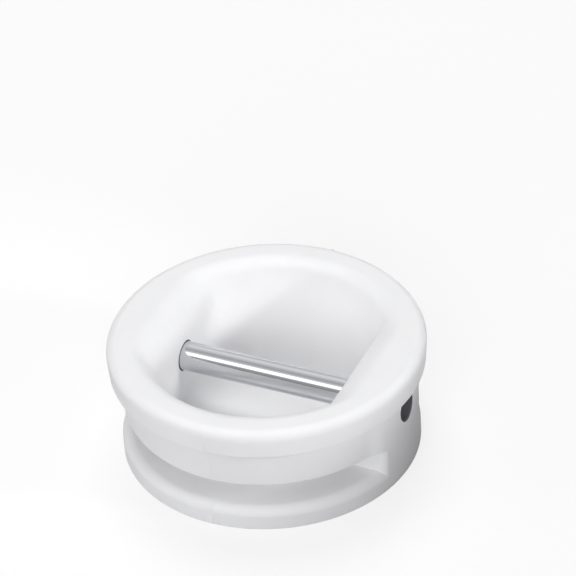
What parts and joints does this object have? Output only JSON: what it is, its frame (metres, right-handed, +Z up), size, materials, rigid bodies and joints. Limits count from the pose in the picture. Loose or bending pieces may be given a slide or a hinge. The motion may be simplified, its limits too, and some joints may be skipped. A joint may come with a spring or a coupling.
{
  "type": "surfboard leash plug",
  "caption": "Round moulded leash cup with a flange, a bowl and side slots, and a steel cross pin that a leash string loops under.",
  "frame": {"origin": "centre of the base's underside, which is the lowest face", "axes": "+Z up out of the board, from the base to the flange; +X along the cross pin"},
  "size_m": [0.032, 0.032, 0.0126],
  "materials": {
    "white_moulded_plastic": "white injection-moulded plastic with a satin skin",
    "polished_stainless_steel": "ground and polished stainless steel rod"
  },
  "bodies": {
    "root": {"cup": "white_moulded_plastic", "cross_pin": "polished_stainless_steel"}
  },
  "joints": []
}
